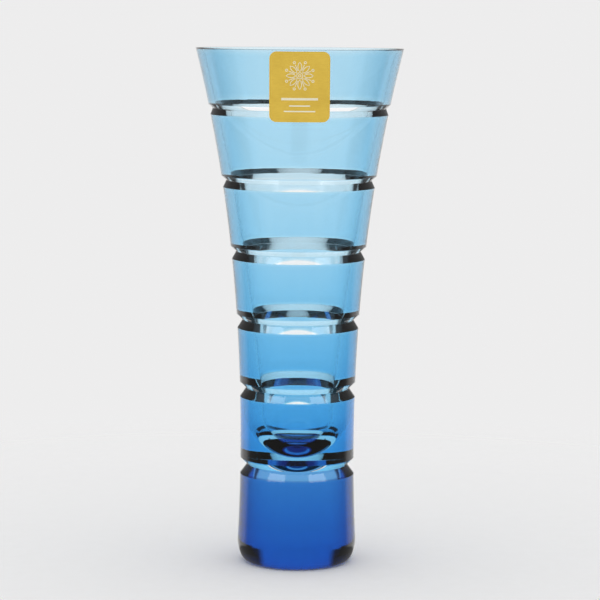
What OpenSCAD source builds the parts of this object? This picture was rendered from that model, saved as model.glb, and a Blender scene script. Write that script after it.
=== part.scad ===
// Cut crystal vase: a clear body cased in blue glass, with ring cuts that go through the blue.
// Millimetres, +Z up. The origin is the middle of the underside, on the table.

/* [Vase] */
// Overall height
vase_h = 205; // [190:1:220]
// Radius of the rim
rim_r = 41; // [40:0.1:43]
// Radius at the waist, the narrowest place
waist_r = 22.7; // [22:0.1:24]
// Height of the waist
waist_z = 45; // [40:1:50]
// How late the sides flare out between the waist and the rim
flare_power = 2.18; // [2:0.01:2.4]

/* [Foot] */
// Radius of the widest place of the foot
foot_r = 23.72; // [23:0.01:25]
// Height of the widest place of the foot
foot_z = 9.2; // [8:0.1:11]
// Radius of the flat that rests on the table
rest_r = 19.3; // [17:0.1:20.5]
// How late the foot swells out below the waist
foot_power = 1.85; // [1.5:0.01:2.5]

/* [Cavity] */
// Height of the lowest point of the inside
cavity_z = 43; // [41.5:0.5:46]
// Height of the rounded floor of the inside
cavity_floor_h = 19; // [15:0.5:22]
// Radius of the inside where its rounded floor begins
cavity_r = 14; // [12:0.1:14.6]
// Radius of the inside at the rim
mouth_r = 38.5; // [37.5:0.1:38.9]
// Widening of the inside for each millimetre of height, above its floor
cavity_taper = 0.09; // [0.08:0.005:0.1]
// How late the inside flares beyond its taper
cavity_power = 2; // [1.8:0.1:2.4]

/* [Cuts] */
// Height of the deepest line of the lowest cut
cut_1_z = 39.4; // [38:0.1:40]
// Height of the deepest line of the second cut
cut_2_z = 70.2; // [65:0.1:72]
// Height of the deepest line of the third cut
cut_3_z = 97.6; // [94:0.1:100]
// Height of the deepest line of the fourth cut
cut_4_z = 124.9; // [122:0.1:128]
// Height of the deepest line of the fifth cut
cut_5_z = 153.1; // [150:0.1:156]
// Height of the deepest line of the highest cut
cut_6_z = 181.5; // [180:0.1:184]
// Depth of the lowest cut
low_cut_depth = 2.75; // [2.5:0.05:3]
// Depth of the highest cut
high_cut_depth = 1.4; // [1.2:0.05:1.6]
// Height of the bevel above the deepest line, in the lowest cut
low_upper_bevel = 2.8; // [2.5:0.1:3.2]
// Height of the bevel above the deepest line, in the highest cut
high_upper_bevel = 1.6; // [1.3:0.1:2]
// Height of the bevel below the deepest line, in the lowest cut
low_lower_bevel = 3.7; // [3:0.1:4]
// Height of the bevel below the deepest line, in the highest cut
high_lower_bevel = 2.5; // [2:0.1:3]

/* [Blue casing] */
// Thickness of the blue glass at the rim
casing_rim_t = 0.1; // [0.08:0.01:0.16]
// Thickness that the blue glass gains down to the foot
casing_gain = 0.7; // [0.5:0.05:1]
// How late the blue glass thickens towards the foot
casing_power = 3; // [2.5:0.1:3.5]

/* [Label] */
// Width of the label, measured straight across
label_w = 23.1; // [20:0.1:26]
// Height of the label
label_h = 26.9; // [24:0.1:28]
// Radius of the label's corners
label_corner_r = 2.7; // [1.5:0.1:4]
// Gap between the label and the rim
label_gap = 0.7; // [0.5:0.1:1.5]
// Thickness of the adhesive
adhesive_t = 0.05; // [0.04:0.01:0.06]
// Thickness of the foil
foil_t = 0.08; // [0.06:0.01:0.1]
// Thickness of the raised print
print_t = 0.03; // [0.02:0.01:0.04]
// Width of the print's lines
line_w = 0.26; // [0.2:0.01:0.35]

/* [Hidden] */

cut_z = [cut_1_z, cut_2_z, cut_3_z, cut_4_z, cut_5_z, cut_6_z];
CUTS = len(cut_z);
// Longest straight piece that stands for a curved side
STEP = 2.5;
// Straight pieces in a rounded corner of a profile
ARC_STEPS = 20;
// Facets round the vase, and round the small circles of the print
$fn = 180;
SMALL_FN = 48;

// Blends from a in the lowest cut to b in the highest
function by_cut(k, a, b) = a + (b - a) * k / (CUTS - 1);

// Radius of the outside at height z, without the cuts
function outer_r(z) = z >= waist_z ? flared_r(z) : z >= foot_z ? swelling_r(z) : rounded_r(z);
function flared_r(z) = waist_r + (rim_r - waist_r) * pow((z - waist_z) / (vase_h - waist_z), flare_power);
function swelling_r(z) = waist_r + (foot_r - waist_r) * pow((waist_z - z) / (waist_z - foot_z), foot_power);
function rounded_r(z) = rest_r + (foot_r - rest_r) * sqrt(1 - pow(1 - z / foot_z, 2));

// Thickness of the blue glass at height z, and radius of the seam where it is fused to the crystal
function casing_t(z) = casing_rim_t + casing_gain * pow(1 - z / vase_h, casing_power);
function seam_r(z) = outer_r(z) - casing_t(z);

// Radius of the inside at height z, above its rounded floor
function inner_r(z) = cavity_r + cavity_taper * (z - cavity_wall_z) + cavity_flare * cavity_rise(z);
function cavity_rise(z) = pow((z - cavity_wall_z) / (vase_h - cavity_wall_z), cavity_power);
cavity_wall_z = cavity_z + cavity_floor_h;
cavity_flare = mouth_r - cavity_r - cavity_taper * (vase_h - cavity_wall_z);

// The V of each cut: where it leaves the outside above and below, and its deepest line
function cut_top(k) = on_outside(cut_z[k] + by_cut(k, low_upper_bevel, high_upper_bevel));
function cut_low(k) = on_outside(cut_z[k] - by_cut(k, low_lower_bevel, high_lower_bevel));
function cut_deep(k) = [outer_r(cut_z[k]) - by_cut(k, low_cut_depth, high_cut_depth), cut_z[k]];
function on_outside(z) = [outer_r(z), z];

// Where the seam comes out on the two bevels of a cut
function seam_top(k) = along(cut_top(k), cut_deep(k), clear_share(k));
function seam_low(k) = along(cut_low(k), cut_deep(k), clear_share(k));
function clear_share(k) = casing_t(cut_z[k]) / by_cut(k, low_cut_depth, high_cut_depth);
function along(a, b, share) = a + (b - a) * share;

// Points between two heights, without the ends: on the outside, the seam and the inside
function steps(z0, z1) = max(2, ceil(abs(z1 - z0) / STEP));
function between(z0, z1) = [for (i = [1 : steps(z0, z1) - 1]) z0 + (z1 - z0) * i / steps(z0, z1)];
function outside(z0, z1) = [for (z = between(z0, z1)) [outer_r(z), z]];
function seam(z0, z1) = [for (z = between(z0, z1)) [seam_r(z), z]];
function inside(z0, z1) = [for (z = between(z0, z1)) [inner_r(z), z]];

// A quarter ellipse from its bottom [r, z] to its side, r_size wide and z_size high
function quarter(r, z, r_size, z_size) =
    [for (i = [0 : ARC_STEPS]) [r + r_size * sin(i * 90 / ARC_STEPS),
                                z + z_size * (1 - cos(i * 90 / ARC_STEPS))]];

// The rounded edge of the foot, on the outside and on the seam
base_t = casing_t(0);
foot_edge = quarter(rest_r, 0, foot_r - rest_r, foot_z);
foot_seam = quarter(rest_r - base_t / 2, base_t, foot_r - casing_t(foot_z) - rest_r + base_t / 2, foot_z - base_t);

// Outline of ring k of the blue glass, which stands above cut k - 1; the highest ends at the rim
function ring_outline(k) = concat(
    [cut_top(k - 1)],
    outside(cut_top(k - 1)[1], ring_top(k)),
    k < CUTS ? [cut_low(k), seam_low(k)] : [[rim_r, vase_h], [seam_r(vase_h), vase_h]],
    seam(k < CUTS ? seam_low(k)[1] : vase_h, seam_top(k - 1)[1]),
    [seam_top(k - 1)]);
function ring_top(k) = k < CUTS ? cut_low(k)[1] : vase_h;

// Outside of the crystal from the seam below ring k to the seam at its top
function crystal_side(k) = concat(
    [seam_low(k - 1), cut_deep(k - 1), seam_top(k - 1)],
    seam(seam_top(k - 1)[1], k < CUTS ? seam_low(k)[1] : vase_h));

base_outline = concat(
    [[0, 0]], foot_edge, outside(foot_z, cut_low(0)[1]), [cut_low(0), seam_low(0)],
    seam(seam_low(0)[1], foot_z), [for (i = [ARC_STEPS : -1 : 0]) foot_seam[i]], [[0, base_t]]);

crystal_outline = concat(
    [[0, base_t]], foot_seam, seam(foot_z, seam_low(0)[1]),
    [for (k = [1 : CUTS]) each crystal_side(k)],
    [[seam_r(vase_h), vase_h], [mouth_r, vase_h]],
    inside(vase_h, cavity_wall_z),
    [for (i = [ARC_STEPS : -1 : 0]) quarter(0, cavity_z, cavity_r, cavity_floor_h)[i]]);

// The clear body
module crystal() {
    color([0.93, 0.97, 0.99, 0.35]) rotate_extrude() polygon(crystal_outline);
}

// The blue cup round the foot
module base_casing() {
    color([0.08, 0.28, 0.72, 0.6]) rotate_extrude() polygon(base_outline);
}

// Ring k of the blue glass, counted from the lowest
module casing_ring(k) {
    color([by_cut(k - 1, 0.15, 0.55), by_cut(k - 1, 0.45, 0.8), 0.92, 0.5])
        rotate_extrude() polygon(ring_outline(k));
}

// The label's top and bottom; its middle bridges the highest cut
label_top = vase_h - label_gap;
label_low = label_top - label_h;
label_mid = (label_top + label_low) / 2;
top_cut = CUTS - 1;

// The foil is stiff, so it stands straight from its bottom edge to its top edge: its line, t off the glass there
function foil_line(t) = [[outer_r(label_low) + t, label_low], [outer_r(label_top) + t, label_top]];

// The glass behind the label, from the top down, straight across the cut
glass_behind = concat(
    [on_outside(label_top)], outside(label_top, cut_top(top_cut)[1]), [cut_top(top_cut), cut_low(top_cut)],
    outside(cut_low(top_cut)[1], label_low), [on_outside(label_low)]);

// A layer of the label, all round the vase, from its outer line and its inner line
module layer(outer, inner) {
    rotate_extrude() polygon(concat(outer, inner));
}

function reversed(points) = [for (i = [len(points) - 1 : -1 : 0]) points[i]];

// Cuts a layer to a flat drawing, which is centred on the front of the vase
module cut_out() {
    intersection() {
        children(0);
        translate([0, 0, label_mid]) rotate([90, 0, 0]) linear_extrude(rim_r + 2) children([1 : $children - 1]);
    }
}

// A rectangle with round corners, centred
module label_shape(inset = 0) {
    w = label_w - 2 * inset;
    h = label_h - 2 * inset;
    r = label_corner_r - inset;
    square([w - 2 * r, h], center = true);
    square([w, h - 2 * r], center = true);
    for (x = [-1, 1], y = [-1, 1]) {
        translate([x * (w / 2 - r), y * (h / 2 - r)]) circle(r, $fn = SMALL_FN);
    }
}

// The adhesive fills the space between the glass and the foil, and stops just short of the foil's edges
ADHESIVE_INSET = 0.15;
module label_adhesive() {
    color([0.9, 0.88, 0.8, 0.6]) cut_out() {
        layer(foil_line(adhesive_t), glass_behind);
        label_shape(ADHESIVE_INSET);
    }
}

foil_face = adhesive_t + foil_t;
module label_foil() {
    color([0.8, 0.67, 0.28]) cut_out() {
        layer(foil_line(foil_face), reversed(foil_line(adhesive_t)));
        label_shape();
    }
}

// A drawn ring of radius r to the middle of its line
module drawn_ring(r) {
    difference() {
        circle(r + line_w / 2, $fn = SMALL_FN);
        circle(r - line_w / 2, $fn = SMALL_FN);
    }
}

// A petal's outline, pointing up: the overlap of two circles, which meet at its tips
module petal(length, bulge) {
    difference() {
        petal_fill(length + line_w, bulge + line_w / 2);
        petal_fill(length - line_w, bulge - line_w / 2);
    }
}

module petal_fill(length, bulge) {
    r = (pow(length / 2, 2) + pow(bulge, 2)) / (2 * bulge);
    intersection() {
        translate([r - bulge, 0]) circle(r, $fn = SMALL_FN);
        translate([bulge - r, 0]) circle(r, $fn = SMALL_FN);
    }
}

// The print: a cut-glass rosette over three plain rules
ROSETTE_Y = 4.3;
PETALS = 8;
module rosette() {
    drawn_ring(1.15);
    drawn_ring(0.45);
    for (i = [0 : PETALS - 1]) {
        rotate(i * 360 / PETALS) translate([0, 3.35]) petal(3.6, 0.72);
        rotate((i + 0.5) * 360 / PETALS) translate([0, 5.4]) drawn_ring(0.42);
        rotate((i + 0.5) * 360 / PETALS) translate([0, 3.3]) square([line_w, 2.4], center = true);
    }
}

module rule(y, w, h) {
    translate([0, y]) square([w, h], center = true);
}

module label_print() {
    color([0.97, 0.95, 0.85]) cut_out() {
        layer(foil_line(foil_face + print_t), reversed(foil_line(foil_face)));
        translate([0, ROSETTE_Y]) rosette();
        rule(-4.6, 14, 0.9);
        rule(-7.2, 8, 0.5);
        rule(-9.3, 12, 0.5);
    }
}

crystal();
base_casing();
casing_ring(1);  // casing_ring_1
casing_ring(2);  // casing_ring_2
casing_ring(3);  // casing_ring_3
casing_ring(4);  // casing_ring_4
casing_ring(5);  // casing_ring_5
casing_ring(6);  // casing_ring_6
label_adhesive();
label_foil();
label_print();
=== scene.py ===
"""The looks of the cut crystal vase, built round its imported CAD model. Metres, Z up, label on the -Y side."""

import math

import bpy
from mathutils import Euler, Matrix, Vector
from mathutils.geometry import intersect_point_line

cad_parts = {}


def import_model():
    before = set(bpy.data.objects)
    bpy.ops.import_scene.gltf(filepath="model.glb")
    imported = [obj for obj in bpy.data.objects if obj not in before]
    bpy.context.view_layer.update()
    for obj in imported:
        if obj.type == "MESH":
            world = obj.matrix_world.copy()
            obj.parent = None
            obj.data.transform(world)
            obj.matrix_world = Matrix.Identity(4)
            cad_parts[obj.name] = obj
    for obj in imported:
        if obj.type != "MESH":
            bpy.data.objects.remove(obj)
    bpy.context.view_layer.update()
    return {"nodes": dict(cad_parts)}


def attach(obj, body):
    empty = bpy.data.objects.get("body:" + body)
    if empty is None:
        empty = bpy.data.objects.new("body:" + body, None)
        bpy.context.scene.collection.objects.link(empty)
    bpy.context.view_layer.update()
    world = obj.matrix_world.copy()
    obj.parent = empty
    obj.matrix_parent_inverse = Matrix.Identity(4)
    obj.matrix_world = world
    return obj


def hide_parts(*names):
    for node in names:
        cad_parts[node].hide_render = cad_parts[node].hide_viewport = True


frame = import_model()

MM = 0.001
RINGS = [f"casing_ring_{i}" for i in range(1, 7)]

# Turned meshes
AROUND = 192              # facets round every turned piece
CORNER_ANGLE = 25.0       # degrees: where a profile turns more than this, it has a corner
EDGE_R = 0.05 * MM        # radius of the polished edges
EDGE_STEPS = 3            # straight pieces in a polished edge
HOLD = 0.02 * MM          # strip beside a polished edge that keeps the next face's shading flat
SEAM_FIT = 0.002 * MM     # how near a profile comes to its neighbour's where the two are fused
SEAM_GAP = 0.008 * MM     # space between two fused faces, so that no two surfaces lie on each other

# Glass
IOR = 1.53
DENSER_LEAD = (0.97, 0.985, 0.99)  # tint of the clear glass where its striae are densest
STREAKS = 0.05            # how much the blue glass varies in thickness, in soft upright streaks
SKIN_SHARE = 0.45         # share of the blue glass's tint on its outer face; the rest is on its fused face
BLUE = (4.1, 1.45, 0.36)  # absorption of red, green and blue by each millimetre of blue glass
DEEP_BLUE = (3.45, 1.5, 0.4)  # the same for the foot, whose colour is denser
RING_SLANT = (0.2, 0.22)  # millimetres of blue that rings gain, and share of painted shade they take, where seen edge on
FOOT_SLANT = (0.3, 0.85)  # the same for the foot
FOOT_SHADE = 0.85         # what the whole foot lets through beside its blue
WAVE_H = 0.03 * MM        # height of the soft waves left by hand polishing
WHEEL_H = 0.0012 * MM     # height of the fine lines left by the cutting wheel
SMUDGE = 0.03             # roughness of the dullest smudges
FOOT_ROUND = (5 * MM, 9.2 * MM)  # heights between which the foot's round is steep and takes painted shade
BEVEL_TOP_Z = 42 * MM     # height below which only the foot's own bevel faces upwards, and below which the painted end-on shade falls
DARKEST_PAINTED_SHADE = 0.9975          # share darkened by painted shade where the foot's glass is seen end on
FOOT_WEAR_H = 0.4 * MM    # height up to which the foot is scuffed
FOOT_WEAR = 0.35          # roughness of the scuffs

# Camera, at the height and distance that show the vase as it is seen from across a table
CAMERA_DISTANCE = 0.970
CAMERA_HEIGHT = 0.218
CAMERA_TILT = 6.63        # degrees downwards
CAMERA_PAN = 0.044        # degrees to the right
CAMERA_ROLL = 0.42        # degrees
LENS = 147.1              # millimetres, on a sensor 36 mm wide

# Studio
PALE = 0.847              # brightness of the plain background
FLOOR_R = 0.36
FLOOR_SIDES = 96
FLOOR_GAP = 0.02 * MM     # space between the floor and the foot, so that their faces don't coincide
FLOOR_FADE_R = 0.20       # where the floor begins to fade into the background

# ---------------------------------------------------------------- profiles read from the frame


def outline(node):
    """The (r, z) points of a turned node in order, read from its mesh where Y is 0 and X is above 0."""
    mesh = frame["nodes"][node].data
    place = {}
    for v in mesh.vertices:
        if abs(v.co.y) < 1e-7 and v.co.x > -1e-9:
            place[v.index] = (round(v.co.x, 6), round(v.co.z, 6))
    beside = {p: set() for p in place.values()}
    for e in mesh.edges:
        a, b = (place.get(i) for i in e.vertices)
        if a and b and a != b:
            beside[a].add(b)
            beside[b].add(a)
    ends = [p for p in beside if len(beside[p]) == 1]
    lowest = min(ends or beside, key=lambda p: (p[1], p[0]))
    path = [lowest]
    while True:
        onward = sorted(p for p in beside[path[-1]] if p not in path)
        if not onward:
            break
        path.append(onward[-1])
    return path if area(path) > 0 else path[::-1]


def area(path):
    """The area inside a profile, which is above 0 when it goes up its outside and down its inside."""
    return sum(a[0] * b[1] - b[0] * a[1] for a, b in zip(path, path[1:] + path[:1])) / 2


def turn_at(a, b, c):
    """The angle in degrees by which a profile turns at b."""
    before, after = Vector(b) - Vector(a), Vector(c) - Vector(b)
    return math.degrees(before.angle(after))


def polished_edge(a, b, c):
    """Points that round the corner b, with a strip on each side that holds the shading of the next face."""
    before, after = (Vector(b) - Vector(a)).normalized(), (Vector(c) - Vector(b)).normalized()
    reach = EDGE_R * math.tan(before.angle(after) / 2)
    start, end, corner = Vector(b) - before * reach, Vector(b) + after * reach, Vector(b)
    arc = []
    for i in range(EDGE_STEPS + 1):
        s = i / EDGE_STEPS
        arc.append(start * (1 - s) ** 2 + corner * 2 * s * (1 - s) + end * s ** 2)
    return [start - before * HOLD] + arc + [end + after * HOLD]


def lies_on(point, path):
    """Whether a profile point lies on another profile, to within the frame's rounding."""
    for a, b in zip(path, path[1:]):
        near, share = intersect_point_line(Vector(point), Vector(a), Vector(b))
        if -0.001 < share < 1.001 and (near.xy - Vector(point)).length < SEAM_FIT:
            return True
    return False


def turned(name, node, neighbours, materials):
    """A turned glass piece in place of a CAD node. Where its profile lies on a neighbour's profile is a fused
    face, which takes the second material."""
    path = outline(node)
    closed = path[0][0] > 0 and path[-1][0] > 0 and node in RINGS
    if not closed:
        path = [(0.0, path[0][1])] + path if path[0][0] > 0 else path
        path = path + [(0.0, path[-1][1])] if path[-1][0] > 0 else path
    count = len(path)
    fused = []
    for a, b in zip(path, path[1:] + path[:1]):
        middle = ((a[0] + b[0]) / 2, (a[1] + b[1]) / 2)
        fused.append(any(lies_on(middle, other) for other in neighbours))

    points, seams = [], []
    for i, p in enumerate(path):
        inner = closed or 0 < i < count - 1
        before, after = path[i - 1], path[(i + 1) % count]
        at_seam = fused[i - 1] or fused[i]
        if inner and not at_seam and turn_at(before, p, after) > CORNER_ANGLE:
            rounded = polished_edge(before, p, after)
            points += rounded
            seams += [False] * len(rounded)
            continue
        step = Vector((0, 0))
        if node == "crystal" and at_seam and inner:
            step = fused_inwards(before if fused[i - 1] else p, after if fused[i] else p)
        points.append(Vector(p) + step)
        seams.append(fused[i])
    return lathe(name, points, seams, closed, materials)


def fused_inwards(a, b):
    """The small step from the seam between a and b into the crystal, which is on the left of its profile."""
    along = (Vector(b) - Vector(a)).normalized()
    return Vector((-along.y, along.x)) * SEAM_GAP


def thicknesses(points, seams, closed):
    """For each profile point, how far it is from the nearest fused face, or from the nearest outer face if it
    is on a fused face itself."""
    count = len(points)
    last = count if closed else count - 1
    stretches = [(points[i], points[(i + 1) % count], seams[i]) for i in range(last)]
    found = []
    for i, p in enumerate(points):
        on_seam = seams[i] or seams[i - 1]
        others = [(a, b) for a, b, seam in stretches if seam != on_seam]
        found.append(min((to_segment(p, a, b) for a, b in others), default=0.0))
    return found


def to_segment(p, a, b):
    near, share = intersect_point_line(p, a, b)
    return (p - (a if share < 0 else b if share > 1 else near.xy)).length


def lathe(name, points, seams, closed, materials):
    """Turns a profile round the Z axis. seams says which stretches are fused faces. Each vertex keeps the
    thickness of its piece there, in millimetres: how far it is from the faces on the piece's other side."""
    vertices, rows, depths = [], [], []
    for p, depth in zip(points, thicknesses(points, seams, closed)):
        around = 1 if p.x < 1e-7 else AROUND
        rows.append([len(vertices) + j % around for j in range(AROUND)])
        depths += [depth / MM] * around
        for j in range(around):
            angle = 2 * math.pi * j / AROUND
            vertices.append((p.x * math.cos(angle), p.x * math.sin(angle), p.y))
    faces, slots = [], []
    last = len(points) if closed else len(points) - 1
    for i in range(last):
        low, high = rows[i], rows[(i + 1) % len(points)]
        for j in range(AROUND):
            k = (j + 1) % AROUND
            corners = list(dict.fromkeys((low[j], low[k], high[k], high[j])))
            faces.append(corners)
            slots.append(1 if seams[i] else 0)
    mesh = bpy.data.meshes.new(name)
    mesh.from_pydata(vertices, [], faces)
    for m in materials:
        mesh.materials.append(m)
    mesh.polygons.foreach_set("material_index", slots)
    mesh.attributes.new("thickness", "FLOAT", "POINT").data.foreach_set("value", depths)
    mesh.update()
    mesh.shade_smooth()
    mesh.set_sharp_from_angle(angle=math.radians(CORNER_ANGLE))
    piece = bpy.data.objects.new(name, mesh)
    bpy.context.scene.collection.objects.link(piece)
    return piece


# ---------------------------------------------------------------- materials


def new_material(name):
    material = bpy.data.materials.new(name)
    material.use_nodes = True
    tree = material.node_tree
    return material, tree, tree.nodes["Principled BSDF"]


def add_node(tree, kind, **settings):
    node = tree.nodes.new(kind)
    for key, value in settings.items():
        setattr(node, key, value)
    return node


def number(tree, operation, a, b=0.0, low=0.0):
    """A Math node on two sockets or numbers; returns its output. low is the lower end of a wrap."""
    node = add_node(tree, "ShaderNodeMath", operation=operation)
    feed(tree, node.inputs, (a, b, low))
    return node.outputs[0]


def feed(tree, sockets, values):
    for socket, value in zip(sockets, values):
        if isinstance(value, (int, float, tuple)):
            socket.default_value = value
        else:
            tree.links.new(value, socket)


def mixed(tree, share, a, b):
    """a where share is 0, b where it is 1."""
    node = add_node(tree, "ShaderNodeMix", data_type="FLOAT")
    feed(tree, node.inputs[:1] + node.inputs[2:4], (share, a, b))
    return node.outputs[0]


def blended(tree, share, a, b):
    """Colour a where share is 0, colour b where it is 1. Each is a socket or red, green and blue."""
    node = add_node(tree, "ShaderNodeMix", data_type="RGBA")
    colours = [(*colour, 1.0) if isinstance(colour, tuple) else colour for colour in (a, b)]
    feed(tree, (node.inputs[0], node.inputs[6], node.inputs[7]), (share, *colours))
    return node.outputs[2]


def above(tree, vector):
    """The Z part of a vector."""
    parts = add_node(tree, "ShaderNodeSeparateXYZ")
    tree.links.new(vector, parts.inputs[0])
    return parts.outputs["Z"]


def ranged(tree, value, low, high, start=0.0, end=1.0):
    """Takes a value from start to end smoothly to low to high."""
    node = add_node(tree, "ShaderNodeMapRange", interpolation_type="SMOOTHSTEP")
    feed(tree, node.inputs[:5], (value, start, end, low, high))
    return node.outputs["Result"]


def texture(tree, place, scale, detail=2.0, roughness=0.5):
    """Noise from 0 to 1 on a place in metres, at a scale in features per metre along X, Y and Z."""
    mapping = add_node(tree, "ShaderNodeMapping")
    mapping.inputs["Scale"].default_value = scale
    tree.links.new(place, mapping.inputs["Vector"])
    noise = add_node(tree, "ShaderNodeTexNoise")
    noise.inputs["Scale"].default_value = 1.0
    noise.inputs["Detail"].default_value = detail
    noise.inputs["Roughness"].default_value = roughness
    tree.links.new(mapping.outputs["Vector"], noise.inputs["Vector"])
    return noise.outputs["Fac"]


def bumped(tree, shader, *layers):
    """Raises each layer, a height from 0 to 1 with the metres it stands for, on the ones before it."""
    normal = None
    for height, distance in layers:
        bump = add_node(tree, "ShaderNodeBump")
        bump.inputs["Distance"].default_value = distance
        tree.links.new(height, bump.inputs["Height"])
        if normal:
            tree.links.new(normal, bump.inputs["Normal"])
        normal = bump.outputs["Normal"]
    tree.links.new(normal, shader.inputs["Normal"])


def glass(name, ior=IOR):
    """Polished glass; returns the material, its tree, its shader and the place on the piece in metres."""
    material, tree, shader = new_material(name)
    shader.inputs["Roughness"].default_value = 0.0
    shader.inputs["IOR"].default_value = ior
    shader.inputs["Transmission Weight"].default_value = 1.0
    return material, tree, shader, add_node(tree, "ShaderNodeTexCoord").outputs["Object"]


def polish(tree, shader, place):
    """The finish of outer faces: soft waves, fine wheel lines round the vase, smudges and a scuffed foot."""
    waves = texture(tree, place, (70, 70, 110))
    wheel_lines = texture(tree, place, (30, 30, 1600), detail=3.0)
    bumped(tree, shader, (waves, WAVE_H), (wheel_lines, WHEEL_H))
    smudges = ranged(tree, texture(tree, place, (80, 80, 50), detail=5.0), 0.0, SMUDGE, 0.6, 0.75)
    near_foot = ranged(tree, above(tree, place), FOOT_WEAR, 0.0, 0.0, FOOT_WEAR_H)
    scuffs = texture(tree, place, (900, 900, 900), detail=4.0, roughness=0.7)
    wear = number(tree, "MULTIPLY", near_foot, ranged(tree, scuffs, 0.2, 1.0, 0.4, 0.65))
    tree.links.new(number(tree, "ADD", smudges, wear), shader.inputs["Roughness"])


def clear_glass(name, ior=IOR):
    """Lead crystal with faint striae; its outer faces carry painted shade where the bevel over the foot is seen
    end on.
    """
    material, tree, shader, place = glass(name, ior)
    striae = texture(tree, place, (60, 60, 25), detail=3.0)
    colour = blended(tree, striae, (1.0, 1.0, 1.0), DENSER_LEAD)
    if ior == IOR:
        polish(tree, shader, place)
        # Painted shade: the bevel over the foot turns black where seen from its end
        colour = blended(tree, painted_end_on_shade(tree, place), colour, (0.0, 0.0, 0.0))
    tree.links.new(colour, shader.inputs["Base Color"])
    return material


def blue_glass(name, share, blue, slanted=None, shade=1.0, painted_shades=(), ior=IOR):
    """Glass whose colour is what a share of its own thickness of blue glass lets through. Principled glass
    tints light by the square root of its colour at each crossing, so the absorption counts twice. Where an
    outer face is seen aslant, light goes a longer way through the blue, and a painted shade darkens it
    further. Each entry of the list of further shades adds its own painted shade."""
    material, tree, shader, place = glass(name, ior)
    thickness = add_node(tree, "ShaderNodeAttribute", attribute_name="thickness").outputs["Fac"]
    streaks = texture(tree, place, (260, 260, 22), detail=3.0)
    thickness = number(tree, "MULTIPLY", thickness, ranged(tree, streaks, 1 - STREAKS, 1 + STREAKS))
    dim = shade
    if slanted:
        longer, painted_edge_shade = slanted
        # Seen aslant, light goes further through the blue; the darkening on top of that is painted shade
        slant = aslant(tree)
        thickness = number(tree, "ADD", thickness, ranged(tree, slant, 0.0, longer, 0.06, 0.5))
        dim = ranged(tree, slant, shade, shade * (1 - painted_edge_shade), 0.15, 0.85)
        polish(tree, shader, place)
    # Further painted shade, darkening the colour
    for painted_shade_of in painted_shades:
        dim = number(tree, "MULTIPLY", dim, number(tree, "SUBTRACT", 1.0, painted_shade_of(tree, place)))
    colour = add_node(tree, "ShaderNodeCombineColor")
    for channel, absorption in zip(("Red", "Green", "Blue"), blue):
        left = number(tree, "POWER", math.exp(-2 * share * absorption), thickness)
        tree.links.new(number(tree, "MULTIPLY", left, dim), colour.inputs[channel])
    tree.links.new(colour.outputs["Color"], shader.inputs["Base Color"])
    return material


def aslant(tree):
    """0 where a face is seen square on, 1 where it is seen edge on."""
    return add_node(tree, "ShaderNodeLayerWeight").outputs["Facing"]


def painted_end_on_shade(tree, place):
    """Painted shade: the share darkened where the bevel over the foot is seen from its end, in place of the
    dark that the glass shows there.
    """
    normal = add_node(tree, "ShaderNodeTexCoord").outputs["Normal"]
    upward = ranged(tree, above(tree, normal), 0.0, 1.0, 0.3, 0.5)
    low = ranged(tree, above(tree, place), 1.0, 0.0, BEVEL_TOP_Z - MM, BEVEL_TOP_Z)
    end = ranged(tree, aslant(tree), 0.0, DARKEST_PAINTED_SHADE, 0.43, 0.52)
    return number(tree, "MULTIPLY", number(tree, "MULTIPLY", upward, low), end)


def painted_foot_round_shade(tree, place):
    """Painted shade on the steep part of the foot's round, where it turns away."""
    low, high = FOOT_ROUND
    z = above(tree, place)
    band = number(tree, "MULTIPLY", ranged(tree, z, 0.0, 1.0, low - 0.8 * MM, low),
                  ranged(tree, z, 1.0, 0.0, high - 0.6 * MM, high))
    return number(tree, "MULTIPLY", band, ranged(tree, aslant(tree), 0.0, DARKEST_PAINTED_SHADE, 0.31, 0.4))


# ---------------------------------------------------------------- glass pieces

# The crystal's profile and the foot's go on to the axis, and each ring's goes back to its start
crystal_path = outline("crystal")
crystal_path = [(0.0, crystal_path[0][1])] + crystal_path
blue_paths = [outline(node) + [outline(node)[0]] for node in RINGS]
base_path = outline("base_casing")
blue_paths.append(base_path + [(0.0, base_path[-1][1])])

clear = clear_glass("clear_crystal_glass")
seam_clear = clear_glass("crystal_fused_face", ior=1.0)
piece = turned("crystal_body", "crystal", blue_paths, [clear, seam_clear])
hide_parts("crystal")
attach(piece, "root")

for node in ["base_casing"] + RINGS:
    if node in RINGS:
        skin = blue_glass(f"{node}_glass", SKIN_SHARE, BLUE, RING_SLANT)
        seam = blue_glass(f"{node}_fused_face", 1 - SKIN_SHARE, BLUE, ior=1.0)
    else:
        # Painted shade on the bevel over the foot and on the steep part of its round
        painted_shades = (painted_end_on_shade, painted_foot_round_shade)
        skin = blue_glass(f"{node}_glass", SKIN_SHARE, DEEP_BLUE, FOOT_SLANT, FOOT_SHADE, painted_shades)
        seam = blue_glass(f"{node}_fused_face", 1 - SKIN_SHARE, DEEP_BLUE, ior=1.0)
    piece = turned(f"{node}_blue", node, [crystal_path], [skin, seam])
    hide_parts(node)
    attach(piece, "root")

# ---------------------------------------------------------------- label


def grained(name, colour, other, metallic, roughness, scale, relief):
    """A dull finish whose colour, roughness and height vary in a grain, its colour between two shades."""
    material, tree, shader = new_material(name)
    shader.inputs["Metallic"].default_value = metallic
    place = add_node(tree, "ShaderNodeTexCoord").outputs["Object"]
    grain = texture(tree, place, scale, detail=4.0, roughness=0.6)
    broad = texture(tree, place, (120, 120, 120))
    share = ranged(tree, number(tree, "ADD", grain, broad), 0.0, 1.0, 0.7, 1.3)
    tree.links.new(blended(tree, share, colour, other), shader.inputs["Base Color"])
    rough = ranged(tree, grain, roughness * 0.8, roughness * 1.25, 0.3, 0.7)
    tree.links.new(rough, shader.inputs["Roughness"])
    bumped(tree, shader, (grain, relief))
    return material, tree, shader


def give(node, material):
    mesh = frame["nodes"][node].data
    mesh.materials.clear()
    mesh.materials.append(material)


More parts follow.
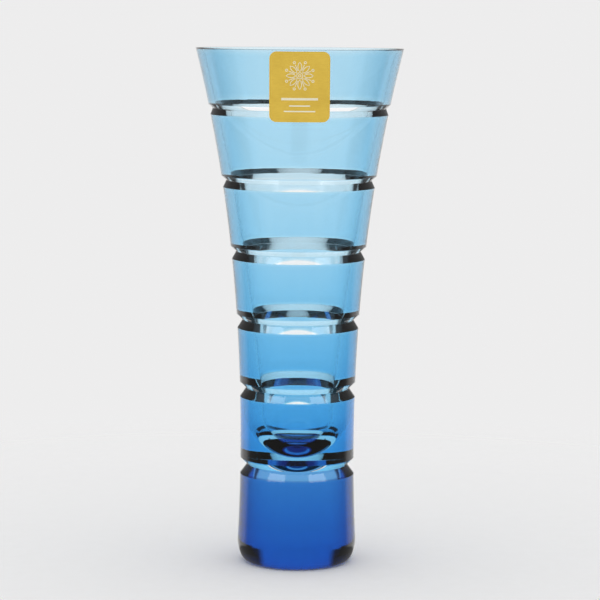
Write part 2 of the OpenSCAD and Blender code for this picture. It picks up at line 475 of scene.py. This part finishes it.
TACK = ((0.76, 0.74, 0.66), (0.68, 0.66, 0.57))
GOLD = ((0.93, 0.64, 0.085), (0.83, 0.56, 0.068))
INK = ((0.91, 0.86, 0.66), (0.84, 0.78, 0.57))
adhesive = grained("adhesive", *TACK, 0.0, 0.5, (900, 900, 900), 0.01 * MM)
foil = grained("gold_foil", *GOLD, 0.25, 0.45, (500, 500, 3500), 0.004 * MM)
ink = grained("pale_print", *INK, 0.0, 0.5, (2500, 2500, 2500), 0.004 * MM)
give("label_adhesive", adhesive[0])
give("label_foil", foil[0])
give("label_print", ink[0])

# ---------------------------------------------------------------- studio

# Brightness of the surround where the glass bends it into view, by the height of the direction in degrees
BENT = ((-90, 0.3), (-67, 0.3), (-62, 0.85), (-35, 0.95), (-5, 0.98), (0, 0.98), (20, 1.06), (45, 0.95),
        (90, 0.85))
UNDER_VASE = (0.15, 0.32, 0.85)  # colour of the light that comes up through the glass from under the vase
# Brightness of the surround where the front of the glass mirrors it
MIRRORED = ((-90, 0.3), (0, 0.25), (30, 0.3), (42, 0.6), (60, 0.6), (90, 0.3))
# Softboxes: azimuth of the middle and half width, height of the middle and half height, in degrees, and
# brightness. The azimuth is 0 behind the vase. The last one is the backdrop, which the vase's edges mirror.
SOFTBOXES = ((120, 22, 52, 10, 2.6), (-120, 22, 52, 10, 2.6), (0, 62, -8, 8, 0.6))
# Dark screens behind the vase's sides, and the shaded floor before it: the last number is what they leave
SCREENS = ((32, 26, -43, 4, 0.06), (-32, 26, -43, 4, 0.06), (60, 31.5, 12.5, 8, 0.05),
           (-60, 31.5, 12.5, 8, 0.05), (180, 40, -74, 6, 0.1))
ON_FLOOR = 0.92           # brightness of the surround that lights the floor and the label


def by_height(tree, height, table):
    """The value that a table of heights in degrees gives for a height from 0, straight down, to 1, up."""
    ramp = add_node(tree, "ShaderNodeFloatCurve")
    ramp.mapping.clip_max_y = 4.0
    curve = ramp.mapping.curves[0]
    curve.points[0].location = (0.0, table[0][1])
    curve.points[1].location = (1.0, table[-1][1])
    for degrees, value in table[1:-1]:
        curve.points.new(degrees / 180 + 0.5, value)
    for point in curve.points:
        point.handle_type = "AUTO_CLAMPED"
    ramp.mapping.update()
    tree.links.new(height, ramp.inputs["Value"])
    return ramp.outputs["Value"]


def patch(tree, height, azimuth, middle, half_width, level, half_height):
    """1 inside a soft-edged patch of the surround, 0 outside it."""
    away = number(tree, "WRAP", number(tree, "SUBTRACT", azimuth, middle / 180), 1.0, low=-1.0)
    away = number(tree, "ABSOLUTE", away)
    off = number(tree, "ABSOLUTE", number(tree, "SUBTRACT", height, level / 180 + 0.5))
    return number(tree, "MULTIPLY", faded(tree, away, half_width / 180), faded(tree, off, half_height / 180))


def faded(tree, distance, half):
    """1 at a distance well below half, 0 well above it."""
    return ranged(tree, distance, 1.0, 0.0, half * 0.85, half * 1.15)


def world():
    """A plain pale surround to the camera. What the glass bends into view or mirrors is a studio."""
    surround = bpy.data.worlds.new("studio")
    bpy.context.scene.world = surround
    surround.use_nodes = True
    tree = surround.node_tree
    tree.nodes.clear()
    parts = add_node(tree, "ShaderNodeSeparateXYZ")
    tree.links.new(add_node(tree, "ShaderNodeTexCoord").outputs["Generated"], parts.inputs[0])
    x, y, z = parts.outputs
    height = number(tree, "ADD", number(tree, "DIVIDE", number(tree, "ARCSINE", z), math.pi), 0.5)
    azimuth = number(tree, "DIVIDE", number(tree, "ARCTAN2", x, y), math.pi)

    bent = by_height(tree, height, BENT)
    for middle, half_width, level, half_height, left in SCREENS:
        dark = patch(tree, height, azimuth, middle, half_width, level, half_height)
        bent = number(tree, "MULTIPLY", bent, mixed(tree, dark, 1.0, left))
    mirrored = by_height(tree, height, MIRRORED)
    for middle, half_width, level, half_height, bright in SOFTBOXES:
        lit = patch(tree, height, azimuth, middle, half_width, level, half_height)
        mirrored = number(tree, "ADD", mirrored, number(tree, "MULTIPLY", lit, bright))

    path = add_node(tree, "ShaderNodeLightPath").outputs
    seen = mixed(tree, path["Is Glossy Ray"], ON_FLOOR, mirrored)
    seen = mixed(tree, path["Is Transmission Ray"], seen, bent)
    seen = mixed(tree, path["Is Camera Ray"], seen, PALE)
    background = add_node(tree, "ShaderNodeBackground")
    under = ranged(tree, height, 1.0, 0.0, 0.5 - 67 / 180, 0.5 - 62 / 180)
    blue_share = number(tree, "MULTIPLY", under, path["Is Transmission Ray"])
    tree.links.new(blended(tree, blue_share, (1.0, 1.0, 1.0), UNDER_VASE), background.inputs["Color"])
    tree.links.new(seen, background.inputs["Strength"])
    out = add_node(tree, "ShaderNodeOutputWorld")
    tree.links.new(background.outputs["Background"], out.inputs["Surface"])


def camera():
    data = bpy.data.cameras.new("camera")
    data.lens = LENS
    data.sensor_width = 36.0
    data.clip_start = 0.01
    eye = bpy.data.objects.new("camera", data)
    bpy.context.scene.collection.objects.link(eye)
    eye.location = (0, -CAMERA_DISTANCE, CAMERA_HEIGHT)
    look = Euler((math.radians(90 - CAMERA_TILT), 0, math.radians(-CAMERA_PAN))).to_matrix()
    roll = Euler((0, 0, math.radians(CAMERA_ROLL))).to_matrix()
    eye.rotation_euler = (look @ roll).to_euler()
    bpy.context.scene.camera = eye


def floor():
    """A plain pale disc that fades into the background, so that it has no edge."""
    mesh = bpy.data.meshes.new("floor")
    turns = [2 * math.pi * j / FLOOR_SIDES for j in range(FLOOR_SIDES)]
    ring = [(FLOOR_R * math.cos(turn), FLOOR_R * math.sin(turn), 0) for turn in turns]
    mesh.from_pydata(ring, [], [list(range(FLOOR_SIDES))])
    paper = ((0.925, 0.925, 0.925), (0.915, 0.915, 0.915))
    material, tree, shader = grained("floor", *paper, 0.0, 0.6, (300, 300, 300), 0.02 * MM)
    shader.inputs["Specular IOR Level"].default_value = 0.0
    place = add_node(tree, "ShaderNodeTexCoord").outputs["Object"]
    away = add_node(tree, "ShaderNodeVectorMath", operation="LENGTH")
    tree.links.new(place, away.inputs[0])
    fade = ranged(tree, away.outputs["Value"], 0.0, 1.0, FLOOR_FADE_R, FLOOR_R)
    mix = add_node(tree, "ShaderNodeMixShader")
    clear_part = add_node(tree, "ShaderNodeBsdfTransparent")
    tree.links.new(fade, mix.inputs["Fac"])
    tree.links.new(shader.outputs["BSDF"], mix.inputs[1])
    tree.links.new(clear_part.outputs["BSDF"], mix.inputs[2])
    tree.links.new(mix.outputs["Shader"], tree.nodes["Material Output"].inputs["Surface"])
    mesh.materials.append(material)
    ground = bpy.data.objects.new("floor", mesh)
    ground.location.z = -FLOOR_GAP
    ground.visible_transmission = False
    ground.visible_glossy = False
    bpy.context.scene.collection.objects.link(ground)


world()
camera()
floor()

# One reflection inside the glass at most, so that the ends of the cuts stay dark
render = bpy.context.scene
render.cycles.max_bounces = 20
render.cycles.transmission_bounces = 20
render.cycles.glossy_bounces = 1
render.cycles.diffuse_bounces = 4
render.cycles.use_denoising = True
render.cycles.denoising_input_passes = "RGB_ALBEDO"
render.view_settings.view_transform = "Standard"
